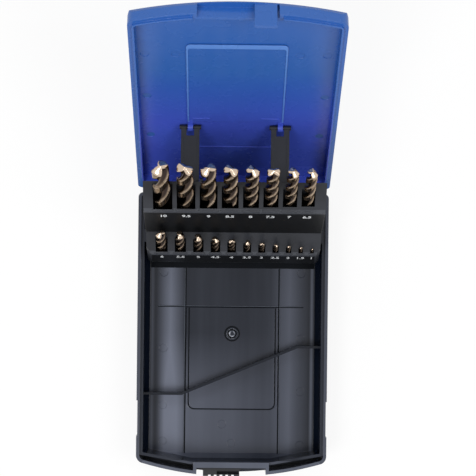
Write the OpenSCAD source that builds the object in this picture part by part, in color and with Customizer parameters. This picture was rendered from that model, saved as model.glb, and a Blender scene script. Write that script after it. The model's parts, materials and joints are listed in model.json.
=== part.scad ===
// Drill bit case with a pop-up holder, lid open. Millimetres.
// Origin: centre of the tray's underside. +X right, +Y towards the hinge, +Z up.

/* [Case] */
// Width across the tray and lid
case_w = 118; // [110:1:130]
// Length from the back wall to the front arc's highest point
case_l = 175.6; // [172:0.2:185]
// Height of the tray, up to its rim
tray_h = 26; // [26:0.5:30]
// Depth of the lid, from its rim to its top
lid_h = 9.2; // [8.5:0.1:12]
// Radius of the bowed front edge, seen from above
front_arc_r = 198; // [150:1:260]
// Radius of the two front corners
front_corner_r = 5; // [3:0.5:8]
// Radius of the two back corners
back_corner_r = 3; // [1.5:0.5:5]
// Thickness of the outer wall
wall = 2; // [1.6:0.1:2.4]
// Width of the ledge inside the rim
ledge_w = 1.9; // [1.5:0.1:2.2]
// How far the ledge lies below the rim
ledge_drop = 2.4; // [1.8:0.1:3.5]
// Thickness of the tray's floor
floor_t = 2; // [1.4:0.1:2.4]

/* [Lid] */
// How far the lid stands open from closed, in degrees
lid_open = 120; // [95:1:125]
// Thickness of the lid's top
lid_t = 1.8; // [1.4:0.1:2.2]
// Distance of the hinge axis behind the back wall
hinge_back = 2.6; // [2.4:0.1:3.5]
// Height of the hinge axis above the rim
hinge_rise = 1.5; // [1:0.1:2]
// Radius of the hinge pins
hinge_pin_r = 1.1; // [0.9:0.05:1.3]
// Distance of the strap hooks from the hinge axis
hook_t = 62; // [58:1:66]

/* [Holder] */
// Width of the holder
holder_w = 106.4; // [104:0.2:106.6]
// How far the raised holder leans back, in degrees
holder_lean = 17.5; // [17:0.5:20]
// Distance of the holder's pivot in front of the back wall
pivot_in = 26.8; // [26:0.2:30]
// Height of the holder's pivot above the underside
pivot_h = 19.4; // [19.2:0.1:20]
// Radius of the holder's rounded foot about its pivot
foot_r = 16.3; // [15:0.1:16.6]
// Thickness from the pivot's plane to the back face
holder_back = 6.2; // [6:0.1:6.4]
// Height of the upper step's back edge above the pivot
upper_back_u = 84.5; // [78:0.5:86]
// Height of the upper step's front edge above the pivot
upper_front_u = 66.6; // [62:0.2:70]
// Height of the lower step's back edge above the pivot
lower_back_u = 27.8; // [25:0.2:30]
// Height of the lower step's front edge above the pivot
lower_front_u = 13.7; // [10:0.1:15]
// Distance of the upper step's face in front of the pivot
upper_front_v = 6.4; // [6.2:0.1:7]
// Distance of the lower step's face in front of the pivot
lower_front_v = 16.1; // [15:0.1:16.2]

/* [Drills] */
// Diameter of the largest drill
big_d = 10; // [10:0.5:10]
// Step in diameter from one drill to the next
step_d = 0.5; // [0.5:0.5:0.5]
// Added to the mean diameter for the upper row's pitch
upper_gap = 3.85; // [3.4:0.05:4]
// Added to the mean diameter for the lower row's pitch
lower_gap = 5.7; // [5:0.1:5.8]
// Helix angle of the flutes, in degrees
helix_angle = 32; // [25:1:35]

/* [Latch] */
// Half width of the notch in the front wall
notch_half = 21.5; // [20:0.5:23]
// Width of the sliding latch
latch_w = 22.6; // [20:0.2:23]
// Distance that the latch slides to the right to lock
latch_travel = 14; // [12:0.5:15]

/* [Hidden] */
$fn = 48;
eps = 0.01;
sunk = 0.8;
far = 300;

// colours as photographed
case_black = [0.16, 0.17, 0.19];
lid_blue = [0.07, 0.27, 0.68];
strap_black = [0.12, 0.13, 0.15];
drill_bronze = [0.66, 0.52, 0.38];

// main places
back_y = case_l / 2;
front_y = -case_l / 2;
arc_y = front_y + front_arc_r;
lid_gap = 0.3;
lid_base = tray_h + lid_gap;
lid_top = tray_h + lid_h;
lid_inside = lid_top - lid_t;
hinge_y = back_y + hinge_back;
hinge_z = tray_h + hinge_rise;
pivot_y = back_y - pivot_in;
fit = 0.05;

// Radius of a plan shape's corner once the shape is inset.
function corner_r(r, inset) = max(r - inset, 0.6);
function front_corner_x(inset) = case_w / 2 - inset - corner_r(front_corner_r, inset);
function front_corner_y(inset) = arc_y
    - sqrt(pow(front_arc_r - inset - corner_r(front_corner_r, inset), 2)
        - pow(front_corner_x(inset), 2));

// Plan shape of the case: straight sides, round corners and a bowed front.
module case_outline(inset = 0) {
    rf = corner_r(front_corner_r, inset);
    rb = corner_r(back_corner_r, inset);
    cx = front_corner_x(inset);
    cy = front_corner_y(inset);
    half = case_w / 2 - inset;
    back = back_y - inset;
    reach = far / (arc_y - cy);
    union() {
        translate([-half, cy]) square([2 * half, back - rb - cy]);
        translate([rb - half, cy]) square([2 * (half - rb), back - cy]);
        for (side = [-1, 1]) {
            translate([side * cx, cy]) circle(rf);
            translate([side * (half - rb), back - rb]) circle(rb);
        }
        intersection() {
            translate([0, arc_y]) circle(front_arc_r - inset, $fn = 180);
            polygon([[-cx, cy + 1], [cx, cy + 1], [cx * reach, arc_y - far], [-cx * reach, arc_y - far]]);
        }
    }
}

// A bar along X with its section given in y and z.
module along_x(x0, x1) {
    translate([x0, 0, 0]) rotate([90, 0, 90]) linear_extrude(x1 - x0) children();
}

// A bar along Y with its section given in x and z.
module along_y(y0, y1) {
    translate([0, y1, 0]) rotate([90, 0, 0]) linear_extrude(y1 - y0) children();
}

// A round bar or hole along X.
module rod_x(x0, x1, r) {
    translate([x0, 0, 0]) rotate([0, 90, 0]) cylinder(h = x1 - x0, r = r);
}

/* ---- tray ---- */
cavity_half = case_w / 2 - wall - ledge_w;
cavity_back = back_y - wall - ledge_w;
cavity_corner_y = back_y - 161.4;
cavity_front_y = back_y - 167;
cavity_front_half = 25;
cavity_chamfer = 3;
notch_y = back_y - 170.5;
notch_floor = 5;
rib_t = 1.5;
rib_top = 12;
rib_left_x = -31.5;
rib_left_y = back_y - 126;
rib_right_x = 41;
rib_right_y = back_y - 96;
boss_w = 7.8;
boss_face = holder_w / 2 + 0.4;
pivot_pin_r = 2.45;
ear_r = 2.3;
ear_t = 3.6;
hinge_x = 38;
knuckle_half = 10;

module cavity_outline(grow = 0) {
    half = cavity_half + grow;
    corner = cavity_corner_y - grow;
    front = cavity_front_y - grow;
    polygon([[-half, cavity_back], [half, cavity_back], [half, corner],
        [cavity_front_half, front], [-cavity_front_half, front], [-half, corner]]);
}

// The hollow of the tray: its plan shape, with a slope where the walls meet the floor.
module cavity() {
    c = cavity_chamfer;
    top = tray_h + 10;
    intersection() {
        translate([0, 0, floor_t]) linear_extrude(top) cavity_outline();
        along_y(-far, far) polygon([[-cavity_half + c, floor_t], [cavity_half - c, floor_t],
            [cavity_half, floor_t + c], [cavity_half + 1, top + 10],
            [-cavity_half - 1, top + 10], [-cavity_half, floor_t + c]]);
        along_x(-far, far) polygon([[cavity_front_y + c, floor_t], [cavity_back - c, floor_t],
            [cavity_back, floor_t + c], [cavity_back + 1, top + 10],
            [cavity_front_y - 1, top + 10], [cavity_front_y, floor_t + c]]);
    }
}

// The pocket on each side of the notch, between the inner and the outer front wall.
module front_pockets() {
    inner_wall = 1.6;
    pocket_floor = 6;
    translate([0, 0, pocket_floor]) linear_extrude(tray_h) difference() {
        intersection() {
            case_outline(wall);
            translate([-far, -far]) square([2 * far, far + cavity_corner_y]);
        }
        cavity_outline(inner_wall);
        translate([-far, cavity_corner_y - inner_wall]) square([2 * far, far]);
        square([2 * (notch_half + wall), far], center = true);
    }
}

// Slot for the latch's T-shaped tongue, in the wall behind the notch.
tongue_z = 15;
tongue_neck = 2;
tongue_flange = 4;
tongue_t = 1;
latch_clear = 0.25;

module tongue_section(grow) {
    depth = tongue_t + grow;
    translate([-eps, tongue_z - tongue_neck / 2 - grow])
        square([tongue_t + 2 * eps, tongue_neck + 2 * grow]);
    translate([tongue_t - grow, tongue_z - tongue_flange / 2 - grow])
        square([depth + grow, tongue_flange + 2 * grow]);
}

module floor_marks() {
    // ejector pins leave shallow round marks
    for (p = [[-43.5, 50], [-43.5, 98], [-43.5, 134], [-43.5, 157], [43.5, 50],
            [43.5, 91.5], [43.5, 125], [43.5, 159], [-6, 146], [0, 158]])
        translate([p[0], back_y - p[1], floor_t - 0.3]) cylinder(h = 1, r = 2.6, $fn = 32);
}

module floor_plateau() {
    r = 4;
    top_y = back_y - 72;
    low_y = back_y - 136;
    for (level = [[29, 0.3], [27, 0.6]])
        translate([0, 0, floor_t - sunk / 2]) linear_extrude(level[1] + sunk / 2) {
            translate([-level[0], low_y + r]) square([2 * level[0], top_y - low_y - r]);
            translate([r - level[0], low_y]) square([2 * (level[0] - r), 2 * r]);
            for (side = [-1, 1]) translate([side * (level[0] - r), low_y + r]) circle(r);
        }
    translate([0, back_y - 88.5, floor_t + 0.3]) difference() {
        cylinder(h = 0.7, r = 4);
        cylinder(h = 3, r = 3.2);
    }
}

module stop_rib() {
    run = [rib_right_x - rib_left_x, rib_right_y - rib_left_y];
    // at each bend the rib's two edges meet on the line that halves the angle
    mitre = rib_t / 2 * tan(atan2(run[1], run[0]) / 2);
    end = cavity_half + 0.5;
    t = rib_t / 2;
    translate([0, 0, floor_t - sunk]) linear_extrude(rib_top - floor_t + sunk) polygon([
        [-end, rib_left_y - t], [rib_left_x + mitre, rib_left_y - t],
        [rib_right_x + mitre, rib_right_y - t], [end, rib_right_y - t],
        [end, rib_right_y + t], [rib_right_x - mitre, rib_right_y + t],
        [rib_left_x - mitre, rib_left_y + t], [-end, rib_left_y + t]]);
}

// Ears behind the back wall, into which the lid's pins snap.
module tray_hinge_ears() {
    for (side = [-1, 1], end = [-1, 1]) {
        x = side * hinge_x + end * (knuckle_half + 0.3 + ear_t / 2);
        difference() {
            along_x(x - ear_t / 2, x + ear_t / 2) {
                translate([hinge_y, hinge_z]) circle(ear_r);
                // the arm stays below the rim until it is clear of the lid's back skirt
                polygon([[back_y - 1, hinge_z - 10], [back_y, hinge_z - 10],
                    [hinge_y + ear_r, hinge_z - 4], [hinge_y + ear_r, hinge_z],
                    [hinge_y - ear_r + 0.4, hinge_z], [hinge_y - ear_r + 0.4, tray_h],
                    [back_y - 1, tray_h]]);
            }
            translate([0, hinge_y, hinge_z]) rod_x(x - far / 2, x + far / 2, hinge_pin_r + fit);
        }
    }
}

module tray() {
    finger_y = back_y - 151;
    color(case_black) difference() {
        union() {
            difference() {
                linear_extrude(tray_h) case_outline();
                translate([0, 0, tray_h - ledge_drop]) linear_extrude(tray_h) case_outline(wall);
                cavity();
                front_pockets();
            }
            stop_rib();
            floor_plateau();
            // the wall behind the notch, and its two cheeks, stand as high as the rim
            intersection() {
                linear_extrude(tray_h) case_outline();
                translate([-notch_half - wall, front_y - 5, notch_floor])
                    cube([2 * (notch_half + wall), cavity_front_y - front_y + 5, tray_h - notch_floor]);
            }
            for (side = [-1, 1]) {
                translate([side > 0 ? boss_face : -boss_face - 2.4, pivot_y - boss_w / 2, 12])
                    cube([2.4, boss_w, tray_h - ledge_drop - 12]);
            }
            tray_hinge_ears();
        }
        floor_marks();
        translate([-notch_half, front_y - 5, notch_floor])
            cube([2 * notch_half, notch_y - front_y + 5, tray_h]);
        along_x(latch_x - 1, latch_x + latch_w + latch_travel + 1) translate([notch_y, 0])
            tongue_section(latch_clear);
        for (side = [-1, 1]) {
            // blind holes for the holder's pivot pins
            translate([0, pivot_y, pivot_h]) {
                if (side > 0) rod_x(boss_face - 1, case_w / 2 - 1.4, pivot_pin_r + fit);
                else rod_x(-case_w / 2 + 1.4, -boss_face + 1, pivot_pin_r + fit);
            }
            // shallow hollows for the fingers
            translate([side > 0 ? case_w / 2 - 0.6 : -case_w / 2 - 1, finger_y, -1])
                cube([1.6, 22, tray_h + 2]);
        }
    }
}

/* ---- lid, drawn closed and then turned open about the hinge ---- */
lid_edge_r = 3;
lip_in = 2.4;
lip_t = 1.2;
lip_drop = 1.1;
lid_notch_half = notch_half + 0.3;
lid_notch_y = notch_y - 0.3;
plateau_rise = 0.5;
hook_x = 26.4;
hook_w = 3;
hook_z = tray_h + 5.5;
strap_pin_r = 1.2;
hook_r = 2.5;

module turned_open() {
    translate([0, hinge_y, hinge_z]) rotate([-lid_open, 0, 0])
        translate([0, -hinge_y, -hinge_z]) children();
}

// Section that eases the lid's upper edges with two slopes on each side.
ease_in = [0.9, 3];
function lid_ease(x, side) = [[x + side * ease_in[0], lid_top - 2 * lid_edge_r + ease_in[0]],
    [x - side * ease_in[0], lid_top - ease_in[0]], [x - side * ease_in[1], lid_top]];

module lid_section(low, high) {
    right = lid_ease(high, 1);
    left = lid_ease(low, -1);
    polygon([[low - ease_in[0], -far], [high + ease_in[0], -far], right[0], right[1], right[2],
        left[2], left[1], left[0]]);
}

module lid_block() {
    front = lid_ease(front_arc_r, 1);
    intersection() {
        translate([0, 0, lid_base]) linear_extrude(lid_h + 1) case_outline();
        along_y(-far, far) lid_section(-case_w / 2, case_w / 2);
        along_x(-far, far) lid_section(-far, back_y);
        translate([0, arc_y, 0]) rotate_extrude($fn = 180)
            polygon([[0, 0], [front_arc_r + ease_in[0], 0], front[0], front[1], front[2],
                [0, lid_top]]);
    }
}

module lid_hollow() {
    translate([0, 0, lid_base - 4]) linear_extrude(lid_inside - lid_base + 4)
        case_outline(lip_in + lip_t);
}

// Lip that drops inside the tray's rim along the sides and the front.
module lid_lip() {
    z0 = tray_h - lip_drop;
    translate([0, 0, z0]) linear_extrude(4) difference() {
        case_outline(lip_in);
        translate([-notch_half - wall - 0.5, -far]) square([2 * (notch_half + wall + 0.5), far]);
        translate([-far, back_y - 12]) square([2 * far, far]);
    }
}

module lid_hooks() {
    for (side = [-1, 1]) translate([side * hook_x, 0, 0]) {
        along_x(-hook_w / 2, hook_w / 2) difference() {
            union() {
                translate([hinge_y - hook_t, hook_z]) circle(hook_r);
                translate([hinge_y - hook_t - hook_r, hook_z])
                    square([2 * hook_r, lid_inside - hook_z + eps]);
            }
            translate([hinge_y - hook_t, hook_z]) circle(strap_pin_r + fit);
        }
        // low rib on the inner side of each hook
        translate([side > 0 ? -11.4 : 1.4, hinge_y - hook_t - 7.5, lid_inside - 0.8])
            cube([10, 1, 1]);
    }
}

module lid_knuckles() {
    for (side = [-1, 1]) {
        x = side * hinge_x;
        along_x(x - knuckle_half, x + knuckle_half) {
            translate([hinge_y, hinge_z]) circle(ear_r);
            translate([back_y - 1, lid_base]) square([hinge_back + 1, ear_r + 1]);
        }
        translate([0, hinge_y, hinge_z])
            rod_x(x - knuckle_half - ear_t, x + knuckle_half + ear_t, hinge_pin_r);
    }
}

// Keeper that hangs into the notch and that the latch slides over.
keeper_x = 8.6;
keeper_w = 12;
keeper_t = 1.4;
keeper_y = notch_y - 3.6;
keeper_z = 19;
keeper_foot = 1.2;

module lid_keeper() {
    translate([keeper_x, keeper_y, keeper_z]) {
        cube([keeper_w, keeper_t, lid_inside - keeper_z + eps]);
        translate([0, keeper_t - eps, 0]) cube([keeper_w, keeper_foot, 1.4]);
    }
}

// Nubs on the skirt that click over the tray's ledge.
module lid_nubs() {
    for (side = [-1, 1], t = [56, 109])
        translate([side * (case_w / 2 - lip_in - lip_t + 0.5), hinge_y - t, tray_h + 3])
            rotate([90, 0, 0]) cylinder(h = 8, r = 1, center = true, $fn = 24);
}

module lid_plateau_shape(half, t0, t1, r) {
    translate([-half, hinge_y - t1 + r]) square([2 * half, t1 - t0 - 2 * r]);
    translate([r - half, hinge_y - t1]) square([2 * (half - r), t1 - t0]);
    for (x = [-1, 1], y = [hinge_y - t1 + r, hinge_y - t0 - r])
        translate([x * (half - r), y]) circle(r, $fn = 32);
}

module lid() {
    plate_step_y = hinge_y - 39;
    color(lid_blue) turned_open() difference() {
        union() {
            difference() {
                union() {
                    lid_block();
                    lid_lip();
                }
                lid_hollow();
            }
            // the label recess outside stands proud inside
            translate([0, 0, lid_inside - plateau_rise])
                linear_extrude(plateau_rise + eps) lid_plateau_shape(28, 66, 139.5, 2);
            // thicker strip of the top along the hinge
            translate([-24, plate_step_y, lid_inside - 0.5])
                cube([48, 0.8, 0.5 + eps]);
            intersection() {
                lid_block();
                translate([-lid_notch_half - wall, front_y - 5, lid_base])
                    cube([2 * (lid_notch_half + wall), lid_notch_y + wall - front_y + 5, lid_h]);
            }
            lid_hooks();
            lid_knuckles();
        }
        translate([-lid_notch_half, front_y - 5, 0])
            cube([2 * lid_notch_half, lid_notch_y - front_y + 5, lid_inside]);
        translate([0, 0, lid_top - plateau_rise]) linear_extrude(10)
            lid_plateau_shape(27, 67, 138.5, 1.5);
        for (p = [[-51, 131], [-34, 131], [35, 131], [50, 131], [-51, 91], [51, 91],
                [-50, 51], [50, 51]])
            translate([p[0], hinge_y - p[1], lid_inside - 1]) cylinder(h = 1.3, r = 2.4, $fn = 32);
    }
    color(lid_blue) turned_open() {
        lid_keeper();
    }
}

/* ---- linkage: where the strap's lower pin must sit on the holder ---- */
// Place on the lid, at a distance t from the hinge and n towards the lid's top, in y and z.
function on_lid(open, t, n) = [hinge_y - t * cos(open) + n * sin(open),
    hinge_z + t * sin(open) + n * cos(open)];
// Place on the holder, at a height u above the pivot and v behind it, for a backward lean.
function on_holder(lean, u, v) = [pivot_y + u * sin(lean) + v * cos(lean),
    pivot_h + u * cos(lean) - v * sin(lean)];
strap_v = 8.2;
// A rigid strap has the same length with the case open and shut, which fixes the pin's height.
open_gap = on_holder(holder_lean, 0, strap_v) - on_lid(lid_open, hook_t, hook_z - hinge_z);
shut_gap = on_holder(-90, 0, strap_v) - on_lid(0, hook_t, hook_z - hinge_z);
open_up = [sin(holder_lean), cos(holder_lean)];
shut_up = [-1, 0];
strap_u = (shut_gap * shut_gap - open_gap * open_gap)
    / (2 * (open_gap * open_up - shut_gap * shut_up));
hook_at = on_lid(lid_open, hook_t, hook_z - hinge_z);
lug_at = on_holder(holder_lean, strap_u, strap_v);

/* ---- drill holder, drawn about its pivot: local +Z up the drills, local +Y to the back ---- */
upper_n = 8;
lower_n = 11;
upper_x0 = -41.9;
lower_x0 = -43.9;
upper_v = 0.1;
pocket_side = 0.65;
pocket_front = 0.3;
lip_h = 1.6;
lip_wall = 1;
lower_floor_u = -4.5;

function upper_d(i) = big_d - i * step_d;
function lower_d(i) = 6 - i * step_d;
function upper_x(i) = i == 0 ? upper_x0 : upper_x(i - 1) + (upper_d(i - 1) + upper_d(i)) / 2 + upper_gap;
function lower_x(i) = i == 0 ? lower_x0 : lower_x(i - 1) + (lower_d(i - 1) + lower_d(i)) / 2 + lower_gap;
function lower_v(i) = lower_front_v - 1 - pocket_front - lower_d(i) / 2;

// Overall and fluted lengths of the jobber drills in the upper row.
upper_len = [133, 125, 125, 117, 117, 109, 109, 101];
upper_flute = [87, 81, 81, 75, 75, 69, 69, 63];
// Height of each upper drill's point above the pivot.
function upper_tip(i) = 127 - i;
function upper_floor(i) = upper_tip(i) - upper_len[i];
// How far each lower drill stands out of its pocket.
lower_stand = [27, 26, 22, 19, 17, 15, 13, 11, 9.5, 8, 6];
function lower_tip(i) = lower_front_u + lip_h + lower_stand[i];

strap_w = 10.8;
strap_t = 2;
slot_half = 1.7;
slot_run = [3.0, 1.75];
lug_t = 2;
lug_in = strap_w / 2 + 0.3;

module held() {
    translate([0, pivot_y, pivot_h]) rotate([-holder_lean, 0, 0]) children();
}

module holder_section() {
    intersection() {
        polygon([[holder_back, -far / 4], [holder_back, upper_back_u],
            [-upper_front_v, upper_front_u], [-upper_front_v, lower_back_u],
            [-lower_front_v, lower_front_u], [-lower_front_v, -far / 4]]);
        union() {
            circle(foot_r, $fn = 96);
            translate([-far / 2, 0]) square([far, far]);
        }
    }
}

// Square pocket for one drill, open at the top.
module pocket_cut(x, v, d, floor_u) {
    w = d + 2 * pocket_side;
    depth = d + 2 * pocket_front;
    translate([x - w / 2, -v - depth / 2, floor_u]) cube([w, depth, far]);
}

// Low lip along a pocket's front edge.
module pocket_lip(x, d, face_v, edge_u) {
    w = d + 2 * pocket_side + 1.4;
    translate([x - w / 2, -face_v, edge_u - 1]) cube([w, lip_wall, lip_h + 1]);
}

module strap_lugs() {
    slope = atan2(slot_run[0], slot_run[1]);
    for (side = [-1, 1], end = [-1, 1]) {
        x = side * hook_x + end * (lug_in + lug_t / 2);
        along_x(x - lug_t / 2, x + lug_t / 2) difference() {
            polygon([[holder_back - 0.5, strap_u - 7], [strap_v + 2.6, strap_u - 2.8],
                [strap_v + 4.45, strap_u - 0.5], [strap_v + 4.45, strap_u + 4.6],
                [strap_v + 3, strap_u + 6.2], [holder_back - 0.5, strap_u + 6.2]]);
            translate([strap_v, strap_u]) {
                circle(slot_half);
                translate([slot_run[1], slot_run[0]]) circle(slot_half);
                rotate(slope) translate([0, -slot_half]) square([norm(slot_run), 2 * slot_half]);
            }
        }
    }
}

module drill_holder() {
    half = holder_w / 2;
    side_chamfer = 3.2;
    color(case_black) held() {
        difference() {
            union() {
                along_x(-half, half) holder_section();
                for (i = [0 : upper_n - 1])
                    pocket_lip(upper_x(i), upper_d(i), upper_front_v, upper_front_u);
                for (i = [0 : lower_n - 1])
                    pocket_lip(lower_x(i), lower_d(i), lower_front_v, lower_front_u);
            }
            for (i = [0 : upper_n - 1])
                pocket_cut(upper_x(i), upper_v, upper_d(i), upper_floor(i));
            for (i = [0 : lower_n - 1])
                pocket_cut(lower_x(i), lower_v(i), lower_d(i), lower_floor_u);
            // slopes along the lower front edges clear the tray's sloped bottom edges
            for (side = [-1, 1])
                translate([side * half, -lower_front_v, -far / 2]) rotate(45)
                    translate([-side_chamfer / sqrt(2), -side_chamfer / sqrt(2), 0])
                        cube([side_chamfer * sqrt(2), side_chamfer * sqrt(2), far]);
        }
        strap_lugs();
        for (side = [-1, 1]) {
            if (side > 0) rod_x(half - 1, case_w / 2 - 1.7, pivot_pin_r);
            else rod_x(-case_w / 2 + 1.7, -half + 1, pivot_pin_r);
        }
    }
}

/* ---- link straps: from the lid's hooks to slots in the holder's lugs ---- */
strap_len = norm(hook_at - lug_at);
strap_turn = atan2(lug_at[1] - hook_at[1], lug_at[0] - hook_at[0]);

module strap(side) {
    head_w = 12.6;
    eye_r = 1.4;
    fork = hook_w + 1.4;
    fork_l = 5;
    rib_start = 6;
    color(strap_black) translate([side * hook_x, hook_at[0], hook_at[1]])
        rotate([strap_turn, 0, 0]) {
            difference() {
                union() {
                    translate([-strap_w / 2, 0, -strap_t / 2]) cube([strap_w, strap_len, strap_t]);
                    rod_x(-head_w / 2, head_w / 2, eye_r);
                    translate([0, strap_len, 0]) rod_x(-strap_w / 2, strap_w / 2, eye_r);
                    // stiffening ribs along the strap's edges
                    for (x = [-strap_w / 2, strap_w / 2 - 1.4])
                        translate([x, rib_start, -strap_t / 2 - 0.4])
                            cube([1.4, strap_len - rib_start - 4, strap_t + 0.8]);
                }
                translate([-fork / 2, -5, -5]) cube([fork, fork_l + 5, 10]);
            }
            rod_x(-head_w / 2, head_w / 2, strap_pin_r);
            translate([0, strap_len, 0])
                rod_x(-lug_in - lug_t, lug_in + lug_t, strap_pin_r);
        }
}

/* ---- sliding latch ---- */
latch_x = -17.4;
latch_d = 5;
latch_z0 = 6;
latch_z1 = 24.4;

module latch_slider() {
    face_y = notch_y - 0.3 - latch_d;
    back = notch_y - 0.3;
    grooves = 5;
    color(strap_black) difference() {
        union() {
            translate([latch_x, face_y, latch_z0]) cube([latch_w, latch_d, latch_z1 - latch_z0]);
            // tongue in the wall's T slot
            along_x(latch_x, latch_x + latch_w) {
                translate([back - eps, tongue_z - tongue_neck / 2])
                    square([tongue_t + 0.3 + 2 * eps, tongue_neck]);
                translate([notch_y + tongue_t, tongue_z - tongue_flange / 2])
                    square([tongue_t, tongue_flange]);
            }
            // small ears at both ends of the grip
            for (x = [latch_x - 1.2, latch_x + latch_w - eps])
                translate([x, back - 1.6, latch_z0 + 3]) cube([1.2 + eps, 1.6, 10]);
        }
        // grip grooves
        for (i = [0 : grooves - 1])
            translate([latch_x + 3.2 + i * 3.6, face_y - 1, latch_z0 + 2])
                cube([1.6, 1.9, latch_z1 - latch_z0 + 2]);
        // channel over the lid's keeper, and a wider one below for its foot
        translate([latch_x + latch_w - keeper_w - 2, keeper_y - 0.3, keeper_z - 0.5])
            cube([far, keeper_t + 0.6, far]);
        translate([latch_x + latch_w - keeper_w - 2, keeper_y - 0.3, keeper_z - 0.5])
            cube([far, keeper_t + keeper_foot + 0.6, 2.4]);
    }
}

/* ---- drills: two twisted flutes, a plain shank and a ground point ---- */
function flute_turns(d, len) = 360 * len * tan(helix_angle) / (PI * d);

// Cross-section of the fluted part: two lands joined by a web, cut by two round flutes.
function flute_radius(a) = let (s = abs(sin(a))) s > 0.82 ? 1 : 0.36 + 0.5 * pow(s / 0.82, 2.2);

module flute_section(d, n) {
    polygon([for (i = [0 : n - 1]) let (a = i * 360 / n) d / 2 * flute_radius(a) * [cos(a), sin(a)]]);
}

module drill(d, len, flute_len, x, v, tip_u, n, slices) {
    point_angle = 118;
    point_h = d / 2 / tan(point_angle / 2);
    shank = len - flute_len;
    color(drill_bronze) held() translate([x, -v, tip_u - len]) {
        cylinder(h = shank, r = d / 2 * 0.99, $fn = 32);
        intersection() {
            translate([0, 0, shank - eps]) linear_extrude(flute_len + eps,
                twist = -flute_turns(d, flute_len), slices = slices, $fn = n)
                flute_section(d, n);
            union() {
                cylinder(h = len - point_h, r = d / 2 + 1, $fn = 16);
                translate([0, 0, len - point_h - eps])
                    cylinder(h = point_h + eps, r1 = d / 2 + 0.01, r2 = 0.02, $fn = 32);
            }
        }
    }
}

module upper_drill(i) {
    drill(upper_d(i), upper_len[i], upper_flute[i], upper_x(i), upper_v, upper_tip(i), 14, 22);
}

module lower_drill(i) {
    len = lower_tip(i) - lower_floor_u;
    drill(lower_d(i), len, min(len * 0.62, 30), lower_x(i), lower_v(i), lower_tip(i), 10, 12);
}

tray();
lid();
drill_holder();
strap(-1);  // strap_left
strap(1);  // strap_right
latch_slider();
upper_drill(0);  // drill_10_0
upper_drill(1);  // drill_9_5
upper_drill(2);  // drill_9_0
upper_drill(3);  // drill_8_5
upper_drill(4);  // drill_8_0
upper_drill(5);  // drill_7_5
upper_drill(6);  // drill_7_0
upper_drill(7);  // drill_6_5
lower_drill(0);  // drill_6_0
lower_drill(1);  // drill_5_5
lower_drill(2);  // drill_5_0
lower_drill(3);  // drill_4_5
lower_drill(4);  // drill_4_0
lower_drill(5);  // drill_3_5
lower_drill(6);  // drill_3_0
lower_drill(7);  // drill_2_5
lower_drill(8);  // drill_2_0
lower_drill(9);  // drill_1_5
lower_drill(10);  // drill_1_0
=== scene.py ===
import json
import math

import bmesh
import bpy
from mathutils import Matrix, Vector


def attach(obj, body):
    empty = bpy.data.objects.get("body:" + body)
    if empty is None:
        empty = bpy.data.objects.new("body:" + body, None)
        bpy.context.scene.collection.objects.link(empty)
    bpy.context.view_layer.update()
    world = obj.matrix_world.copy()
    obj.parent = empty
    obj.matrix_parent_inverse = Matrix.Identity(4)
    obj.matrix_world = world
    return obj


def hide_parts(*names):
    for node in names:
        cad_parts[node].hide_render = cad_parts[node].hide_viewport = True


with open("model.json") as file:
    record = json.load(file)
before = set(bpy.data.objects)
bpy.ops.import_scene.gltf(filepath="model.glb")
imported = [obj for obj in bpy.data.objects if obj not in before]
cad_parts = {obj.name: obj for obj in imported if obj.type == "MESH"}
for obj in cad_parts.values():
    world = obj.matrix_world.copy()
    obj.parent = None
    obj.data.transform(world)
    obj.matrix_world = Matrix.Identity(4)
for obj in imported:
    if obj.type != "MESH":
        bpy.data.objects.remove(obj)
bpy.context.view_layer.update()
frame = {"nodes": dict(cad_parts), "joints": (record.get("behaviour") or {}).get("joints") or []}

# ---- The view: a camera high above the open case, looking almost straight down ----
# The case lies flat, so the tray's sides are parallel in the picture and the raised lid
# and holder grow towards the lens.

MM = 0.001
image_px = 476
sensor_mm = 36
focal_px = 1646
rim_px_per_mm = 1.613
rim_height = 26 * MM
case_length = 175.6 * MM
aim_from_back = 27.9 * MM
left_of_middle = 8.9 * MM
lean_right = math.radians(0.66)
roll = math.radians(0.6)

lens = bpy.data.cameras.new("camera")
lens.sensor_width = sensor_mm
lens.lens = focal_px / image_px * sensor_mm
lens.clip_start = 0.05
lens.clip_end = 10
camera = bpy.data.objects.new("camera", lens)
bpy.context.scene.collection.objects.link(camera)
back_wall_y = case_length / 2
camera_height = rim_height + focal_px / rim_px_per_mm * MM
camera.location = (-left_of_middle, back_wall_y - aim_from_back, camera_height)
camera.rotation_euler = (0, -lean_right, roll)
bpy.context.scene.camera = camera


# ---- The studio: a pale floor, a white surround and soft lamps ----
# The surround shows white to the lens and to glossy surfaces and lights the case less, and
# the floor keeps a faint shadow that fades out before its edge.

class Value:
    """A shader socket that adds Math nodes when it is used in arithmetic."""

    def __init__(self, tree, socket):
        self.tree = tree
        self.socket = socket

    def math(self, operation, *others, clamp=False):
        node = self.tree.nodes.new("ShaderNodeMath")
        node.operation = operation
        node.use_clamp = clamp
        for slot, value in enumerate((self,) + others):
            plug(self.tree, node.inputs[slot], value)
        return Value(self.tree, node.outputs[0])

    def __add__(self, other):
        return self.math("ADD", other)

    def __sub__(self, other):
        return self.math("SUBTRACT", other)

    def __rsub__(self, other):
        return self.math("MULTIPLY", -1).math("ADD", other)

    def __mul__(self, other):
        return self.math("MULTIPLY", other)

    def __gt__(self, other):
        return self.math("GREATER_THAN", other)

    def __lt__(self, other):
        return self.math("LESS_THAN", other)

    __radd__ = __add__
    __rmul__ = __mul__

    def ramp(self, low, high):
        """0 below low, 1 above high, and a straight slope between."""
        return self.math("SUBTRACT", low).math("DIVIDE", high - low, clamp=True)


def plug(tree, socket, value):
    """Link a value to a socket, or set it there when it is a plain number or colour."""
    if isinstance(value, Value):
        tree.links.new(value.socket, socket)
    elif value is not None:
        socket.default_value = value


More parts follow.
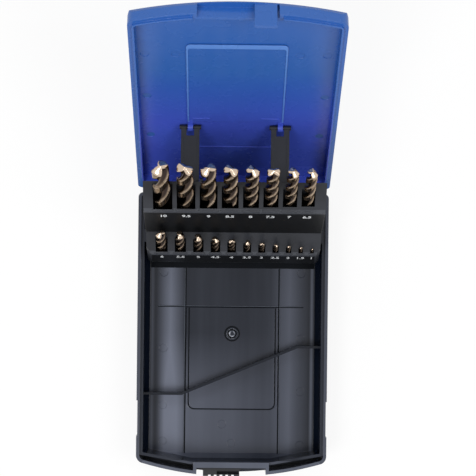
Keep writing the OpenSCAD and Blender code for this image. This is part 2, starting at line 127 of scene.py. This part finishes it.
def srgb(red, green, blue):
    """A colour as a screen shows it, 0 to 255, as the shader wants it."""
    def linear(c):
        c = c / 255
        return c / 12.92 if c <= 0.04045 else ((c + 0.055) / 1.055) ** 2.4
    return (linear(red), linear(green), linear(blue), 1)


class Finish:
    """A material under construction, with its shader and a method for any other node."""

    def __init__(self, name, **constants):
        self.material = bpy.data.materials.new(name)
        self.material.use_nodes = True
        self.tree = self.material.node_tree
        self.shader = self.tree.nodes["Principled BSDF"]
        for socket, value in constants.items():
            self.shader.inputs[socket.replace("_", " ")].default_value = value

    def node(self, kind, settings=(), output=0, **inputs):
        node = self.tree.nodes.new(kind)
        for key, value in dict(settings).items():
            setattr(node, key, value)
        for socket, value in inputs.items():
            plug(self.tree, node.inputs[socket.replace("_", " ")], value)
        return Value(self.tree, node.outputs[output])

    def place(self, stretch=(1, 1, 1)):
        """Where a point of the surface lies, in metres, with each axis stretched."""
        at = self.node("ShaderNodeTexCoord", output="Object")
        return self.node("ShaderNodeMapping", Vector=at, Scale=stretch)

    def axes(self):
        split = self.node("ShaderNodeSeparateXYZ", Vector=self.place())
        outputs = split.socket.node.outputs
        return [Value(self.tree, outputs[i]) for i in range(3)]

    def noise(self, scale, stretch=(1, 1, 1), detail=3.0):
        return self.node("ShaderNodeTexNoise", Vector=self.place(stretch), Scale=scale,
                         Detail=detail)

    def blend(self, factor, first, second):
        mix = self.tree.nodes.new("ShaderNodeMix")
        mix.data_type = "RGBA"
        plug(self.tree, mix.inputs["Factor"], factor)
        plug(self.tree, mix.inputs["A"], first)
        plug(self.tree, mix.inputs["B"], second)
        return Value(self.tree, mix.outputs["Result"])

    def feed(self, **sockets):
        for socket, value in sockets.items():
            plug(self.tree, self.shader.inputs[socket.replace("_", " ")], value)

    def relief(self, height, distance, strength, edge=None):
        """Bump from a height, on surfaces whose sharp edges look eased by the given radius."""
        under = None
        if edge:
            under = self.node("ShaderNodeBevel", settings={"samples": 6}, Radius=edge)
        bump = self.node("ShaderNodeBump", Height=height, Distance=distance, Strength=strength,
                         Normal=under)
        self.feed(Normal=bump)


def dress(piece, finish):
    """Give a piece or a CAD node one material on its whole surface."""
    piece.data.materials.clear()
    piece.data.materials.append(finish.material)


def seen_white(tree):
    """1 for rays from the lens and for mirror and clear rays, to which the surround is white."""
    path = tree.nodes.new("ShaderNodeLightPath")
    lens_ray, mirror_ray, clear_ray = (
        Value(tree, path.outputs[name])
        for name in ("Is Camera Ray", "Is Glossy Ray", "Is Transmission Ray"))
    return lens_ray.math("MAXIMUM", mirror_ray).math("MAXIMUM", clear_ray)


world = bpy.data.worlds.new("surround")
bpy.context.scene.world = world
world.use_nodes = True
glow = world.node_tree.nodes["Background"]
glow.inputs["Color"].default_value = (1, 1, 1, 1)
ambient = 0.42
plug(world.node_tree, glow.inputs["Strength"],
     seen_white(world.node_tree) * (1 - ambient) + ambient)

floor_reach = 3.0
paper_white = (0.93, 0.93, 0.93, 1)
shadow_depth = 0.15
# Squares of the distances from the middle at which the shadow starts to fade and has gone.
shadow_fades = 0.06
shadow_gone = 0.5
bm = bmesh.new()
bmesh.ops.create_grid(bm, x_segments=1, y_segments=1, size=floor_reach)
floor_mesh = bpy.data.meshes.new("floor")
bm.to_mesh(floor_mesh)
bm.free()
floor = bpy.data.objects.new("floor", floor_mesh)
bpy.context.scene.collection.objects.link(floor)
paper = Finish("white_paper", Roughness=0.9, Specular_IOR_Level=0.1)
paper.feed(Base_Color=paper_white)
east, north, _ = paper.axes()
shadow_share = (east * east + north * north).ramp(shadow_gone, shadow_fades) * shadow_depth
bright = paper.node("ShaderNodeEmission", Color=(1, 1, 1, 1), Strength=1.0)
both = paper.node("ShaderNodeMixShader", Fac=seen_white(paper.tree) * (1 - shadow_share))
mixer = both.socket.node
paper.tree.links.new(paper.shader.outputs[0], mixer.inputs[1])
paper.tree.links.new(bright.socket, mixer.inputs[2])
paper.tree.links.new(both.socket, paper.tree.nodes["Material Output"].inputs["Surface"])
dress(floor, paper)


def softbox(name, place, aim, size, watts):
    """A rectangular lamp of the given size that faces a point."""
    light = bpy.data.lights.new(name, "AREA")
    light.shape = "RECTANGLE"
    light.size, light.size_y = size
    light.energy = watts
    lamp = bpy.data.objects.new(name, light)
    lamp.location = place
    lamp.rotation_euler = (Vector(aim) - Vector(place)).to_track_quat("-Z", "Y").to_euler()
    bpy.context.scene.collection.objects.link(lamp)


case_middle = (0, 0.03, 0.05)
softbox("key", (-0.5, -0.45, 1.25), case_middle, (0.5, 0.5), 8.0)
softbox("fill", (0.65, -0.1, 1.2), case_middle, (0.6, 0.6), 6.0)
softbox("back", (-0.2, 0.8, 1.1), case_middle, (0.9, 0.4), 2.5)

view = bpy.context.scene.view_settings
view.view_transform = "Standard"

# ---- Tray: the black base, injection moulded in one piece from glossy styrene ----
# Its floor carries painted reflections of the lamps: pale bands and fine streaks down its length
# and a paler front left. The rim is a little paler as a painted highlight, the front wall inside
# is paler as painted light, and the inner walls and the rib's top stay dark as painted shade.

tray = frame["nodes"]["tray"]
tray_black = Finish("tray_plastic", IOR=1.5, Specular_IOR_Level=0.27)
to_mm = 1000
tray_x, tray_y, tray_z = [axis * to_mm for axis in tray_black.axes()]


def band(at, middle, half_width):
    """1 along the middle line of a band of colour, and 0 at its edges."""
    return (at - middle).math("ABSOLUTE").ramp(half_width, 0)


# Limits of the tray's zones in millimetres: heights, half widths, and places along its length.
underside = 1.5
low_relief = 5.5
wall_foot = 8
front_wall_foot = 12
under_ledge = 22.5
near_rim = 24.5
inner_wall = 51.9
floor_half = 52
front_half = 55
hollow_half = 56
hollow_front = -80
floor_front = -79.3
front_wall = -78.5
hollow_back = 60

beside = tray_x.math("ABSOLUTE")
above_base = tray_z > underside
on_floor = (tray_z < low_relief) * above_base * (beside < floor_half) * (tray_y > floor_front)
in_hollow = ((tray_z < under_ledge) * above_base * (tray_y < hollow_back)
             * (beside < hollow_half) * (tray_y > hollow_front))
# Painted reflections of the lamps: fine streaks, pale bands and a paler front left on the floor.
streak = tray_black.noise(scale=1.0, stretch=(60, 3.2, 3.2), detail=4).ramp(0.3, 0.7) - 0.5
towards_front = tray_y.ramp(0, -42)
painted_floor_sheen = towards_front * tray_x.ramp(42, -32) * tray_x.ramp(-47, -42) * 0.52
for middle, half_width, paler in ((-39, 9, 0.75), (36.5, 12, 0.42), (50.4, 1.4, 0.7),
                                  (-50.6, 1.6, 0.35)):
    painted_floor_sheen += band(tray_x, middle, half_width) * paler
everywhere = 0.08
# The rim's top is made paler as a painted highlight.
rim_painted_highlight = 0.26
# The front wall inside is made paler as painted light.
front_wall_painted_light = 0.22
behind_front = (tray_y < front_wall) * (beside < front_half) * (tray_z > front_wall_foot)
shade = (painted_floor_sheen * on_floor + everywhere + streak * 0.12 + (tray_z > near_rim) * rim_painted_highlight
         + behind_front * front_wall_painted_light)
# Painted shade: the hollow's walls, the rib's top and the side chamfers take the darkest tone.
shade = shade * (1 - (tray_z > wall_foot) * in_hollow)
shade = shade * (1 - in_hollow * (beside > inner_wall))
tray_black.feed(Base_Color=tray_black.blend(shade, srgb(7, 14, 27), srgb(104, 109, 124)))
tray_black.feed(Roughness=tray_black.noise(scale=60) * 0.1 + 0.14)
tray_black.relief(tray_black.noise(scale=240, detail=2), distance=0.0003, strength=0.05,
                  edge=0.0004)
dress(tray, tray_black)

# ---- Floor lines: the low lines and the arch moulded on the tray's floor ----
# Two lines run lengthwise and one crosses them, each a strip of painted shade beside a strip of
# painted highlight. They and the arch, in painted shade, are moulded with the tray; the matt
# strip at the holder's foot is a painted shadow. All are less than a millimetre high.

def finish_piece(name, bm, finish, body, smooth=True):
    """Turn a finished mesh into an object that rides on a body of the case."""
    bmesh.ops.recalc_face_normals(bm, faces=bm.faces)
    mesh = bpy.data.meshes.new(name)
    for face in bm.faces:
        face.smooth = smooth
    bm.to_mesh(mesh)
    bm.free()
    piece = bpy.data.objects.new(name, mesh)
    bpy.context.scene.collection.objects.link(piece)
    dress(piece, finish)
    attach(piece, body)
    return piece


# The dark finish is painted shade, and the grey finish a painted highlight.
painted_shade_black = Finish("floor_painted_shade", Roughness=0.5, Specular_IOR_Level=0.05)
painted_shade_black.feed(Base_Color=painted_shade_black.blend(painted_shade_black.noise(scale=90), srgb(4, 6, 9),
                                                srgb(14, 17, 23)))
painted_highlight_grey = Finish("floor_painted_highlight", Roughness=0.3, Specular_IOR_Level=0.3)
painted_highlight_grey.feed(Base_Color=painted_highlight_grey.blend(painted_highlight_grey.noise(scale=40), srgb(46, 51, 61),
                                            srgb(84, 90, 102)))
floor_top = 2 * MM
line_rise = 0.45 * MM
eased_edge = 0.1 * MM


def floor_strip(name, x, y, wide, long, finish):
    """A straight low line on the tray's floor, with eased upper edges."""
    bm = bmesh.new()
    bmesh.ops.create_cube(bm, size=1)
    bmesh.ops.scale(bm, vec=(wide * MM, long * MM, 2 * line_rise), verts=bm.verts)
    rim = [edge for edge in bm.edges if all(vert.co.z > 0 for vert in edge.verts)]
    bmesh.ops.bevel(bm, geom=rim, offset=eased_edge, segments=2, profile=0.5, affect="EDGES",
                    material=-1)
    bmesh.ops.translate(bm, vec=(x * MM, y * MM, floor_top), verts=bm.verts)
    finish_piece(name, bm, finish, "base", smooth=False)


line_x, line_middle_y, line_length = 29.5, -18.5, 118
shade_strip_width, highlight_strip_width, highlight_strip_beside = 0.7, 0.4, 0.6
for side, sign in (("left", -1), ("right", 1)):
    floor_strip(f"floor_painted_shade_{side}", sign * line_x, line_middle_y, shade_strip_width, line_length,
                painted_shade_black)
    floor_strip(f"floor_painted_highlight_{side}", sign * (line_x + highlight_strip_beside), line_middle_y,
                highlight_strip_width, line_length, painted_highlight_grey)
cross_x, cross_y, cross_length, cross_width = -1, 16.2, 92, 0.5
floor_strip("floor_painted_shade_across", cross_x, cross_y, cross_length, cross_width, painted_shade_black)
floor_strip("floor_painted_highlight_across", cross_x, cross_y + cross_width, cross_length, highlight_strip_width,
            painted_highlight_grey)
# A dark matt strip of painted shadow on the floor in front of the holder's foot.
foot_y, foot_length, foot_width = 43, 103.6, 4.4
floor_strip("foot_painted_shadow", 0, foot_y, foot_length, foot_width, painted_shade_black)


def arch(half, near, far, radius, steps=6):
    """Points up one side of a place, over its round corners and down the other."""
    yield half, near
    for x, start in ((half - radius, 0), (radius - half, 90)):
        for k in range(steps + 1):
            angle = math.radians(start + 90 * k / steps)
            yield x + radius * math.cos(angle), far - radius + radius * math.sin(angle)
    yield -half, near


def raise_flat(bm, rise):
    """Give a flat ring or band its height."""
    raised = bmesh.ops.extrude_face_region(bm, geom=list(bm.faces))
    top = [part for part in raised["geom"] if isinstance(part, bmesh.types.BMVert)]
    bmesh.ops.translate(bm, vec=(0, 0, rise), verts=top)


def arch_band(outer, inner, origin_y, z, rise):
    """A raised band between two arches that open towards the hinge."""
    bm = bmesh.new()
    edges = []
    for line in (outer, inner):
        verts = [bm.verts.new((x, origin_y - t, z)) for x, t in arch(*line)]
        edges += [bm.edges.new(pair) for pair in zip(verts, verts[1:])]
    bmesh.ops.bridge_loops(bm, edges=edges)
    raise_flat(bm, rise)
    return bm


arch_half = 27.7 * MM
arch_near = -15.5 * MM
arch_far = 48.9 * MM
arch_corner = 4 * MM
arch_width = 0.6 * MM
arch_rise = 0.7 * MM
arch_edge = (arch_half, arch_near, arch_far, arch_corner)
arch_inside = (arch_half - arch_width, arch_near, arch_far - arch_width, arch_corner - arch_width)
# The arch is drawn dark as painted shade.
bm = arch_band(arch_edge, arch_inside, 0, floor_top, arch_rise)
finish_piece("floor_arch", bm, painted_shade_black, "base", smooth=False)

# ---- Gate mark: the round mark at the middle of the tray's floor ----
# The tray's mould was fed here, which leaves low rings of plastic round the trimmed gate. The
# pale rings carry painted highlights, and the dark rings painted shade.

gate_y = -0.7 * MM
gate_rise = 0.95 * MM
ring_steps = 40
gate_highlight_grey = Finish("gate_painted_highlight", Roughness=0.25, Specular_IOR_Level=0.3)
gate_highlight_grey.feed(Base_Color=gate_highlight_grey.blend(gate_highlight_grey.noise(scale=500).ramp(0.4, 0.6),
                                          srgb(58, 64, 74), srgb(172, 176, 186)))
for name, outer_r, inner_r, finish in (("gate_shadow", 4.9, 4.0, painted_shade_black),
                                       ("gate_ring", 3.8, 3.1, gate_highlight_grey),
                                       ("gate_painted_shade", 3.0, 2.1, painted_shade_black),
                                       ("gate_core", 2.0, 1.2, gate_highlight_grey)):
    bm = bmesh.new()
    bmesh.ops.create_circle(bm, segments=ring_steps, radius=outer_r * MM)
    bmesh.ops.create_circle(bm, segments=ring_steps, radius=inner_r * MM)
    bmesh.ops.bridge_loops(bm, edges=list(bm.edges))
    raise_flat(bm, gate_rise)
    bmesh.ops.translate(bm, vec=(0, gate_y, floor_top), verts=bm.verts)
    finish_piece(name, bm, finish, "base", smooth=False)

# ---- Lid: the blue cover, moulded in one piece with a fine satin grain ----
# The grain is finer than half a millimetre, and inside, a painted shade turns the blue a little
# violet towards the hinge.

lid = frame["nodes"]["lid"]
lid_joint = next(j for j in frame["joints"] if j["name"] == "lid_hinge")
hinge_at = Vector(lid_joint["pos_m"])
lid_open = -math.radians(lid_joint["range_deg"][0])
plate_inside = 33.4 * MM
plate_half = 56.2 * MM
plate_play = 0.3 * MM
violet_below = 80 * MM
blue_above = 125 * MM


def onto_lid(bm):
    """Move a mesh drawn on the closed lid to the open lid's place."""
    bmesh.ops.rotate(bm, cent=hinge_at, matrix=Matrix.Rotation(-lid_open, 3, "X"), verts=bm.verts)


def lid_finish(name, violet, blue):
    """Grained blue plastic, with a painted shade that turns it violet on the inner plate, low
    above the tray.
    """
    finish = Finish(name, IOR=1.5)
    side, back, height = finish.axes()
    off_hinge_plane = ((back - hinge_at.y) * math.sin(lid_open)
                       + (height - hinge_at.z) * math.cos(lid_open))
    inside = ((off_hinge_plane < plate_inside + plate_play - hinge_at.z)
              * (side.math("ABSOLUTE") < plate_half))
    # Painted shade: the inner plate turns violet low down, towards the hinge.
    painted_violet_shade = inside * (1 - height.ramp(violet_below, blue_above))
    mottle = finish.noise(scale=30)
    colour = finish.blend(painted_violet_shade, blue, violet)
    tint = finish.blend(mottle * 0.3, colour, srgb(66, 110, 190))
    finish.feed(Base_Color=tint, Roughness=finish.noise(scale=90) * 0.08 + 0.23)
    finish.relief(finish.noise(scale=2600, detail=1), distance=0.00003, strength=0.2, edge=0.0004)
    return finish


lid_blue = lid_finish("lid_plastic", srgb(64, 80, 196), srgb(34, 90, 168))
dress(lid, lid_blue)

# ---- Label border: the thin raised line round the label's place on the lid ----
# It is moulded with the lid, round a bare plateau. The line is wide along the top, narrow at the
# sides and open towards the hinge.

label_half = 28 * MM
label_near = 66 * MM
label_far = 141 * MM
label_corner = 2.5 * MM
side_width = 0.9 * MM
top_width = 3.6 * MM
plateau_rise = 0.5 * MM
bead = 0.35 * MM

label_edge = (label_half, label_near, label_far, label_corner)
label_inside = (label_half - side_width, label_near, label_far - top_width,
                label_corner - side_width)
bm = arch_band(label_edge, label_inside, hinge_at.y, plate_inside - plateau_rise, -bead)
onto_lid(bm)
# The line's paler blue is a painted highlight on the raised edge.
label_highlight_blue = lid_finish("label_line_painted_highlight", srgb(86, 124, 206), srgb(92, 140, 214))
finish_piece("label_border", bm, label_highlight_blue, "lid", smooth=False)

# ---- Drill holder: the black stepped block with two rows of pockets ----
# A satin black moulding. The faces that carry the numbers are darkened as painted shade, and the
# pockets' lips are made pale as a painted highlight.

holder = frame["nodes"]["drill_holder"]
holder_joint = next(j for j in frame["joints"] if j["name"] == "holder_pivot")
pivot_at = Vector(holder_joint["pos_m"])
slide = next(j for j in frame["joints"] if j["name"] == "drill_10_0_slide")
up = Vector(slide["axis"]).normalized()
across = Vector((1, 0, 0))
forward = across.cross(up).normalized()
if forward.y > 0:
    forward = -forward


def black_finish(name, dark, light, rough):
    """Satin black plastic. Its tone is kept as tone, for a piece that adds to it."""
    finish = Finish(name, IOR=1.5, Specular_IOR_Level=0.3)
    mottle = finish.noise(scale=40).ramp(0.35, 0.7)
    finish.tone = finish.blend(mottle, dark, light)
    finish.feed(Base_Color=finish.tone)
    finish.feed(Roughness=finish.noise(scale=120) * 0.15 + (rough - 0.05))
    finish.relief(finish.noise(scale=1800, detail=1), distance=0.00006, strength=0.35,
                  edge=0.0003)
    return finish


holder_black = black_finish("holder_plastic", srgb(33, 35, 40), srgb(48, 50, 56), 0.42)
_, from_middle, height = holder_black.axes()
back_of_pivot = (from_middle - pivot_at.y) * to_mm
over_pivot = (height - pivot_at.z) * to_mm
at_u = back_of_pivot * up.y + over_pivot * up.z
at_v = back_of_pivot * forward.y + over_pivot * forward.z
# How far forward of the pivot the two number faces stand, and how high the lips begin.
upper_front = 6.4
lower_front = 16.1
upper_foot = 28.2
upper_lips = 64.5
lower_lips = 11.5
lower_lips_top = 16
lip_depth = 1.4
face_depth = 0.2
upper_face = (at_v > upper_front - face_depth) * (at_u > upper_foot) * (at_u < upper_lips)
lower_face = (at_v > lower_front - face_depth) * (at_u < lower_lips)
# Painted highlight: the tops of the pockets' lips are made pale.
lip_painted_highlight = ((at_u > upper_lips) * (at_v > upper_front - lip_depth)
        + (at_v > lower_front - lip_depth) * (at_u > lower_lips) * (at_u < lower_lips_top))
# Painted shade: the number faces go near black.
shaded = holder_black.blend(upper_face + lower_face, holder_black.tone, srgb(3, 4, 6))
holder_black.feed(Base_Color=holder_black.blend(lip_painted_highlight * 0.6, shaded, srgb(78, 81, 88)))
dress(holder, holder_black)

# ---- Size numbers: pale figures printed under each pocket's lip ----
# Plain sizes in millimetres, pad-printed on the steep fronts of both steps.

number_ink = Finish("number_ink", Roughness=0.55)
number_ink.feed(Base_Color=number_ink.blend(number_ink.noise(scale=400), srgb(214, 218, 222),
                                            srgb(236, 238, 240)))
upper_sizes = [10 - 0.5 * k for k in range(8)]
lower_sizes = [6 - 0.5 * k for k in range(11)]
number_rise = 0.06 * MM
figure_height = 4.0 * MM
figure_width = 2.45 * MM
font_figure_width = 0.57
font_bevel = 0.03
font_extrude = 0.01
font_thickness = 2 * (font_bevel + font_extrude)
upper_figures = 58.6
lower_figures = 7.8


def row_places(sizes, first_x, gap):
    """Where each drill of a row stands across the holder."""
    x = first_x
    places = [x]
    for big, small in zip(sizes, sizes[1:]):
        x += (big + small) / 2 + gap
        places.append(x)
    return places


upper_x = row_places(upper_sizes, first_x=-41.9, gap=3.85)
lower_x = row_places(lower_sizes, first_x=-43.9, gap=5.7)


def on_holder(x, u, v):
    """A point given in millimetres across, up the drills and towards the front."""
    return pivot_at + across * x * MM + up * u * MM + forward * v * MM


def number(size, x, u, v):
    """Print a drill's size, as a thin mesh made from the font's own figures."""
    text = bpy.data.curves.new(f"size_{size:g}", "FONT")
    text.body = f"{size:g}"
    text.align_x = "CENTER"
    text.align_y = "CENTER"
    text.size = 1
    text.bevel_depth = font_bevel
    text.bevel_resolution = 0
    text.extrude = font_extrude
    stamp = bpy.data.objects.new("stamp", text)
    bpy.context.scene.collection.objects.link(stamp)
    bpy.context.view_layer.update()
    mesh = bpy.data.meshes.new_from_object(stamp.evaluated_get(
        bpy.context.evaluated_depsgraph_get()))
    bpy.data.objects.remove(stamp)
    bpy.data.curves.remove(text)
    bm = bmesh.new()
    bm.from_mesh(mesh)
    bpy.data.meshes.remove(mesh)
    bmesh.ops.remove_doubles(bm, verts=bm.verts, dist=1e-5)
    tall = max(vert.co.y for vert in bm.verts) - min(vert.co.y for vert in bm.verts)
    bmesh.ops.scale(bm, vec=(figure_width / font_figure_width, figure_height / tall,
                             number_rise / font_thickness), verts=bm.verts)
    turn = Matrix((across, up, forward)).transposed()
    bmesh.ops.rotate(bm, cent=(0, 0, 0), matrix=turn, verts=bm.verts)
    bmesh.ops.translate(bm, vec=on_holder(x, u, v), verts=bm.verts)
    name = f"number_{size:g}".replace(".", "_")
    finish_piece(name, bm, number_ink, "holder", smooth=False)


for size, x in zip(upper_sizes, upper_x):
    number(size, x, upper_figures, upper_front)
for size, x in zip(lower_sizes, lower_x):
    number(size, x, lower_figures, lower_front)

# ---- Link straps and latch: small black satin mouldings ----
# Each strap snaps on a hook of the lid, and the latch slides in the front notch.

link_black = black_finish("link_plastic", srgb(22, 25, 34), srgb(32, 35, 44), 0.3)
for name in ("strap_left", "strap_right"):
    dress(frame["nodes"][name], link_black)
dress(frame["nodes"]["latch_slider"], black_finish("latch_plastic", srgb(12, 13, 17),
                                                  srgb(26, 27, 32), 0.3))

# ---- Twist drills: nineteen ground steel drills with a bronze temper colour ----
# Each has two helical flutes, a narrow bright margin along each land, a bright ground point
# and a plain shank that stands in its pocket.

# Angles are in degrees after a cutting lip. Shares are of the drill's radius, but run_in, over
# which the flutes reach their depth, is a share of its whole size.
ring_points = 48
half_point = math.radians(59)
margin_end = 9
land_end = 76
land_share = 0.965
shank_share = 0.985
web = 0.24
flute_curve = 1.7
margin_shine = 0.8
run_in = 0.9
neck = 0.6
point_relief = 0.22
relief_end = 110
point_set_back = 0.03
clear_of_point = 0.01
pocket_gap = 0.05 * MM


def section_radius(degrees):
    """Radius of a drill's section as a share of its own, at an angle after a cutting lip."""
    a = degrees % 180
    if a < margin_end:
        return 1.0
    if a < land_end:
        return land_share
    across_flute = (a - land_end) / (180 - land_end)
    return web + (land_share - web) * abs(2 * across_flute - 1) ** flute_curve


def drill_finish():
    """Tempered steel, bright where it was ground last, with painted shade down in the flutes."""
    finish = Finish("drill_steel", Metallic=1.0, Specular_Tint=(0.7, 0.62, 0.55, 1))
    ground = finish.node("ShaderNodeAttribute", settings={"attribute_name": "ground"}, output=2)
    haze = finish.noise(scale=260, detail=4).ramp(0.3, 0.7)
    bronze = finish.blend(haze, srgb(100, 83, 65), srgb(184, 162, 136))
    flute = finish.node("ShaderNodeAttribute", settings={"attribute_name": "flute"}, output=2)
    # Painted shade: the flutes darken with their depth.
    shade = finish.blend(flute.ramp(0.04, 0.4), bronze, srgb(60, 52, 50))
    finish.feed(Base_Color=finish.blend(ground, shade, srgb(206, 186, 166)))
    finish.feed(Roughness=finish.noise(scale=700, stretch=(1, 1, 0.2)) * 0.14 + 0.12)
    finish.relief(finish.noise(scale=1500, stretch=(1, 1, 0.15), detail=2), distance=0.00004,
                  strength=0.25)
    return finish


drill_steel = drill_finish()


def next_ring(bm, loop):
    """Extrude a ring of edges, and give the new ring's points and edges."""
    grown = bmesh.ops.extrude_edge_only(bm, edges=loop)["geom"]
    verts = [part for part in grown if isinstance(part, bmesh.types.BMVert)]
    fresh = set(verts)
    edges = [part for part in grown if isinstance(part, bmesh.types.BMEdge)
             and fresh.issuperset(part.verts)]
    return verts, edges


def size_name(size):
    return f"{size:.1f}".replace(".", "_")


def twist_drill(size, length, fluted, x, v, tip, helix_angle):
    """One drill, drawn standing on its shank and then set in its pocket."""
    foot = on_holder(x, tip - length, v)
    helix = math.tan(math.radians(helix_angle))
    radius = size / 2 * MM
    length *= MM
    fluted *= MM
    bm = bmesh.new()
    ground = bm.verts.layers.float.new("ground")
    flute = bm.verts.layers.float.new("flute")
    bmesh.ops.create_circle(bm, cap_ends=True, segments=ring_points, radius=radius * shank_share)
    bmesh.ops.translate(bm, vec=(0, 0, pocket_gap), verts=bm.verts)
    loop = list(bm.edges)
    shank = length - fluted
    point_height = radius / math.tan(half_point)
    body = fluted - point_height - (point_relief + point_set_back + clear_of_point) * radius
    rings = max(18, int(fluted / radius * 5))
    steps = [(shank - neck * radius, 0.0)]
    for k in range(1, rings + 1):
        along = body * k / rings
        steps.append((shank + along, min(1.0, along / (run_in * size * MM))))
    for height, depth in steps:
        verts, loop = next_ring(bm, loop)
        swing = height / radius * helix
        for vert in verts:
            a = math.atan2(vert.co.y, vert.co.x)
            share = section_radius(math.degrees(a - swing))
            r = radius * (shank_share + (share - shank_share) * depth)
            vert.co = Vector((r * math.cos(a), r * math.sin(a), height))
            # How deep the point lies in a flute, which sets the painted shade there.
            vert[flute] = (1 - share) / (1 - web) * depth
            vert[ground] = margin_shine if share >= 0.999 and depth > 0.5 else 0.0
    # the swing stays as it was at the last ring, so the cone's lips run straight inwards
    for share_left in (1.0, 0.8, 0.55, 0.3, 0.1):
        verts, loop = next_ring(bm, loop)
        for vert in verts:
            a = math.atan2(vert.co.y, vert.co.x)
            after_lip = math.degrees(a - swing) % 180
            r = radius * section_radius(after_lip) * share_left
            relief = point_relief * r * min(after_lip, relief_end) / relief_end
            vert.co = Vector((r * math.cos(a), r * math.sin(a),
                              length - r / math.tan(half_point) - relief
                              - point_set_back * radius))
            vert[ground] = 1.0
            vert[flute] = 0.0
    bmesh.ops.edgeloop_fill(bm, edges=loop)
    turn = Matrix((across, -forward, up)).transposed()
    bmesh.ops.rotate(bm, cent=(0, 0, 0), matrix=turn, verts=bm.verts)
    bmesh.ops.translate(bm, vec=foot, verts=bm.verts)
    name = size_name(size)
    piece = finish_piece(f"bit_{name}_steel", bm, drill_steel, f"bit_{name}")
    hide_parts(f"drill_{name}")


upper_lengths = [133, 125, 125, 117, 117, 109, 109, 101]
upper_fluted = [87, 81, 81, 75, 75, 69, 69, 63]
upper_helix = [32, 35, 35, 38, 40, 41, 38, 34]
upper_row = 0.1
tallest_tip = 127
tip_fall = 1
lower_helix = 41
lower_edge = 13.7
lip_rise = 1.6
lower_stand = [27, 26, 22, 19, 17, 15, 13, 11, 9.5, 8, 6]
lower_floor = -4.5
front_wall_of_pocket = 1.3
fluted_share = 0.62
longest_fluted = 30

for k, size in enumerate(upper_sizes):
    twist_drill(size, upper_lengths[k], upper_fluted[k], upper_x[k], upper_row,
                tallest_tip - k * tip_fall, upper_helix[k])
for k, size in enumerate(lower_sizes):
    tip = lower_edge + lip_rise + lower_stand[k]
    length = tip - lower_floor
    twist_drill(size, length, min(length * fluted_share, longest_fluted), lower_x[k],
                lower_front - front_wall_of_pocket - size / 2, tip, lower_helix)
